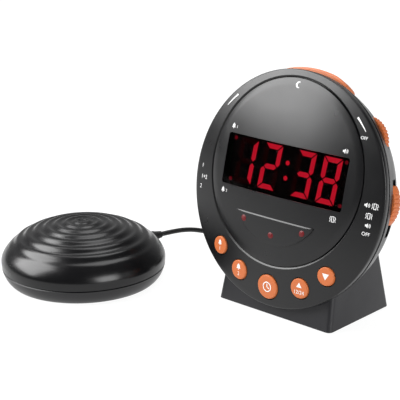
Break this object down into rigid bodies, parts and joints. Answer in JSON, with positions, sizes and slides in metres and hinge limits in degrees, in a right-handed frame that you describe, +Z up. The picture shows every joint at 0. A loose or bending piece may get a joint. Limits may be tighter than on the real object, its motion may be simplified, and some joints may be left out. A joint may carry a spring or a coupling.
{
  "type": "bed shaker alarm clock",
  "caption": "Round desk alarm clock on a wedge stand with a red digital display, orange keys and rim controls, and a corded vibrating puck for under a pillow.",
  "frame": {"origin": "middle of the stand's underside, on the table plane to within the feet's height", "axes": "+Z up, the clock faces -Y, +X to the right of someone facing the clock; the puck lies at -X, -Y"},
  "size_m": [0.2546, 0.1931, 0.1442],
  "materials": {
    "face_plastic": "satin moulded anthracite",
    "shell_plastic": "satin moulded dark grey",
    "smoked_lens": "smoked clear plastic",
    "display_black": "matt black",
    "lit_red": "lit red display bars",
    "dim_red": "unlit red display bars",
    "lamp_red": "clear red lamps",
    "orange_plastic": "satin moulded orange",
    "board_green": "solder mask",
    "component_black": "moulded black",
    "steel": "zinc plated",
    "cone_paper": "pressed paper",
    "magnet_iron": "dark metal",
    "foot_rubber": "soft rubber",
    "cell_wrap": "printed sleeve, bare of text",
    "contact_brass": "plated spring strip",
    "puck_plastic": "semi-gloss black",
    "puck_base_plastic": "satin dark grey",
    "cord_rubber": "matt black sheath",
    "tie_plastic": "soft strap",
    "plug_rubber": "moulded plug"
  },
  "bodies": {
    "clock": {"front_shell": "face_plastic", "face_plate": "face_plastic", "rear_shell": "shell_plastic", "stand_shell": "shell_plastic", "stand_base": "shell_plastic", "display_lens": "smoked_lens", "led_display": "display_black", "lit_segments": "lit_red", "indicator_dots": "dim_red", "unlit_segments": "dim_red", "flash_panel": "face_plastic", "flash_leds": "lamp_red", "front_board": "board_green", "main_board": "board_green", "board_components": "component_black", "board_header": "component_black", "key_switches": "component_black", "snooze_switch": "component_black", "volume_pot": "component_black", "tone_pot": "component_black", "mode_switch": "component_black", "alarm_switch": "component_black", "power_jack": "component_black", "shaker_jack": "component_black", "board_screws": "steel", "shell_screws": "steel", "stand_screws": "steel", "base_screws": "steel", "clamp_screws": "steel", "shaker_screws": "steel", "speaker_basket": "steel", "shaker_motor": "steel", "motor_clamp": "steel", "speaker_cone": "cone_paper", "speaker_magnet": "magnet_iron", "stand_feet": "foot_rubber", "battery_cells": "cell_wrap", "battery_contacts": "contact_brass", "shaker_top": "puck_plastic", "shaker_bottom": "puck_base_plastic", "strain_relief": "cord_rubber", "cord_lead": "cord_rubber", "cord_coil": "cord_rubber", "cord_tail": "cord_rubber", "coil_tie": "tie_plastic", "shaker_plug": "plug_rubber"},
    "alarm_one_key": {"alarm_one_button": "orange_plastic"},
    "alarm_two_key": {"alarm_two_button": "orange_plastic"},
    "time_key": {"time_button": "orange_plastic"},
    "up_key": {"up_button": "orange_plastic"},
    "down_key": {"down_button": "orange_plastic"},
    "snooze": {"snooze_bar": "orange_plastic"},
    "volume": {"volume_wheel": "orange_plastic"},
    "tone": {"tone_wheel": "orange_plastic"},
    "mode": {"mode_slider": "orange_plastic"},
    "alarm": {"alarm_slider": "orange_plastic"},
    "door": {"battery_door": "shell_plastic"},
    "rotor": {"motor_shaft": "steel", "eccentric_weight": "magnet_iron"}
  },
  "joints": [
    {"name": "alarm_one_press", "type": "slide", "parent": "clock", "child": "alarm_one_key", "axis": [0, 0.9763, -0.2164], "range_m": [0, 0.001], "stiffness_N_per_m": 600, "springref_m": -0.0005},
    {"name": "alarm_two_press", "type": "slide", "parent": "clock", "child": "alarm_two_key", "axis": [0, 0.9763, -0.2164], "range_m": [0, 0.001], "stiffness_N_per_m": 600, "springref_m": -0.0005},
    {"name": "time_press", "type": "slide", "parent": "clock", "child": "time_key", "axis": [0, 0.9763, -0.2164], "range_m": [0, 0.001], "stiffness_N_per_m": 600, "springref_m": -0.0005},
    {"name": "up_press", "type": "slide", "parent": "clock", "child": "up_key", "axis": [0, 0.9763, -0.2164], "range_m": [0, 0.001], "stiffness_N_per_m": 600, "springref_m": -0.0005},
    {"name": "down_press", "type": "slide", "parent": "clock", "child": "down_key", "axis": [0, 0.9763, -0.2164], "range_m": [0, 0.001], "stiffness_N_per_m": 600, "springref_m": -0.0005},
    {"name": "snooze_press", "type": "slide", "parent": "clock", "child": "snooze", "axis": [0, -0.2164, -0.9763], "range_m": [0, 0.0015], "stiffness_N_per_m": 800, "springref_m": -0.001},
    {"name": "volume_turn", "type": "hinge", "parent": "clock", "child": "volume", "pos_m": [0.04107, 0.00243, 0.10757], "axis": [0, -0.9763, 0.2164], "range_deg": [-150, 150]},
    {"name": "tone_turn", "type": "hinge", "parent": "clock", "child": "tone", "pos_m": [-0.04107, 0.00243, 0.10757], "axis": [0, -0.9763, 0.2164], "range_deg": [-150, 150]},
    {"name": "mode_slide", "type": "slide", "parent": "clock", "child": "mode", "axis": [0, 0.2164, 0.9763], "range_m": [-0.00625, 0.00315]},
    {"name": "alarm_slide", "type": "slide", "parent": "clock", "child": "alarm", "axis": [0, 0.2164, 0.9763], "range_m": [-0.00625, 0.00315]},
    {"name": "door_slide", "type": "slide", "parent": "clock", "child": "door", "axis": [0, 1, 0], "range_m": [0, 0.026]},
    {"name": "rotor_spin", "type": "hinge", "parent": "clock", "child": "rotor", "pos_m": [-0.1325, -0.0585, 0.0175], "axis": [1, 0, 0], "continuous": true}
  ]
}
